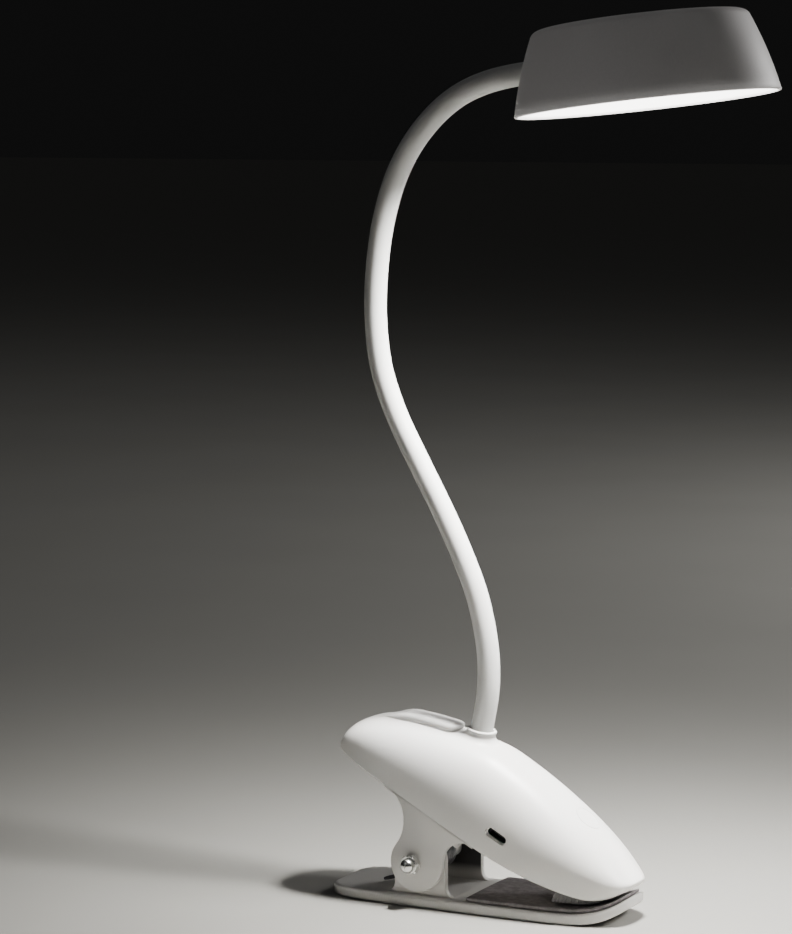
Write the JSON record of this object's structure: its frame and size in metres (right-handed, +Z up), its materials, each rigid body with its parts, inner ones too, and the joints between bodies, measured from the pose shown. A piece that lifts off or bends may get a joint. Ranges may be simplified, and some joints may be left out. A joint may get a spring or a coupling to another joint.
{
  "type": "clip on reading lamp",
  "caption": "Clip-on reading lamp: a sprung clip with a rechargeable cell, a bendable neck and a round downward-facing LED head.",
  "frame": {"origin": "on the flat underside of the lower jaw, straight below the hinge bolt", "axes": "+Z up, +X towards the jaw tips and the lamp head, +Y across the lamp with its middle plane at 0"},
  "size_m": [0.1745, 0.0986, 0.3423],
  "materials": {
    "white_plastic": "smooth satin white ABS",
    "neck_silicone": "matt white silicone",
    "head_plastic": "satin white ABS",
    "opal_diffuser": "opal acrylic, lit from inside",
    "grey_rubber": "matt dark grey rubber",
    "zinc_steel": "zinc-plated steel",
    "spring_steel": "oiled spring steel",
    "circuit_board": "green solder mask over glass-fibre board",
    "cell_foil": "crimped foil pouch",
    "brass": "plain brass"
  },
  "bodies": {
    "lower_jaw": {"lower_jaw": "white_plastic", "lower_pad": "grey_rubber", "hinge_bolt": "zinc_steel", "hinge_nut": "zinc_steel", "hinge_bush": "white_plastic", "torsion_spring": "spring_steel"},
    "upper_jaw": {"upper_cover": "white_plastic", "upper_base": "white_plastic", "upper_pad": "grey_rubber", "neck_collar": "white_plastic", "case_screw_1": "zinc_steel", "case_screw_2": "zinc_steel", "case_screw_3": "zinc_steel", "case_screw_4": "zinc_steel", "battery_tape": "grey_rubber", "battery_cell": "cell_foil", "control_board": "circuit_board", "usb_connector": "zinc_steel", "touch_plate": "brass", "touch_spring": "spring_steel", "neck_ferrule_lower": "zinc_steel", "neck_clamp_nut": "zinc_steel", "neck_sleeve_0": "neck_silicone", "neck_core_0": "spring_steel"},
    "neck_1": {"neck_sleeve_1": "neck_silicone", "neck_core_1": "spring_steel"},
    "neck_2": {"neck_sleeve_2": "neck_silicone", "neck_core_2": "spring_steel"},
    "neck_3": {"neck_sleeve_3": "neck_silicone", "neck_core_3": "spring_steel"},
    "neck_4": {"neck_sleeve_4": "neck_silicone", "neck_core_4": "spring_steel"},
    "neck_5": {"neck_sleeve_5": "neck_silicone", "neck_core_5": "spring_steel"},
    "neck_6": {"neck_sleeve_6": "neck_silicone", "neck_core_6": "spring_steel"},
    "neck_7": {"neck_sleeve_7": "neck_silicone", "neck_core_7": "spring_steel"},
    "head": {"neck_sleeve_8": "neck_silicone", "neck_core_8": "spring_steel", "head_shell": "head_plastic", "diffuser": "opal_diffuser", "reflector": "opal_diffuser", "led_board": "circuit_board", "head_socket": "head_plastic", "neck_ferrule_upper": "zinc_steel", "board_screw_1": "zinc_steel", "board_screw_2": "zinc_steel", "board_screw_3": "zinc_steel"}
  },
  "joints": [
    {"name": "jaw_hinge", "type": "hinge", "parent": "lower_jaw", "child": "upper_jaw", "pos_m": [0, 0, 0.017], "axis": [0, -1, 0], "range_deg": [0, 30], "stiffness_Nm_per_rad": 1, "springref_deg": -34.38, "deforming": ["torsion_spring"]},
    {"name": "neck_joint_1", "type": "hinge", "parent": "upper_jaw", "child": "neck_1", "pos_m": [0.02141, 0, 0.07674], "axis": [0.9838, 0, -0.179], "range_deg": [-25, 25]},
    {"name": "neck_joint_2", "type": "hinge", "parent": "neck_1", "child": "neck_2", "pos_m": [0.01965, 0, 0.1119], "axis": [0, 1, 0], "range_deg": [-25, 25]},
    {"name": "neck_joint_3", "type": "hinge", "parent": "neck_2", "child": "neck_3", "pos_m": [0.00637, 0, 0.14471], "axis": [0.8889, 0, 0.458], "range_deg": [-25, 25]},
    {"name": "neck_joint_4", "type": "hinge", "parent": "neck_3", "child": "neck_4", "pos_m": [-0.01085, 0, 0.17573], "axis": [0, 1, 0], "range_deg": [-25, 25]},
    {"name": "neck_joint_5", "type": "hinge", "parent": "neck_4", "child": "neck_5", "pos_m": [-0.02452, 0, 0.20832], "axis": [0.9787, 0, 0.2051], "range_deg": [-25, 25]},
    {"name": "neck_joint_6", "type": "hinge", "parent": "neck_5", "child": "neck_6", "pos_m": [-0.02597, 0, 0.24365], "axis": [0, 1, 0], "range_deg": [-25, 25]},
    {"name": "neck_joint_7", "type": "hinge", "parent": "neck_6", "child": "neck_7", "pos_m": [-0.01823, 0, 0.27814], "axis": [0.9234, 0, -0.3837], "range_deg": [-25, 25]},
    {"name": "neck_joint_8", "type": "hinge", "parent": "neck_7", "child": "head", "pos_m": [0.0028, 0, 0.30625], "axis": [0, 1, 0], "range_deg": [-25, 25]}
  ]
}
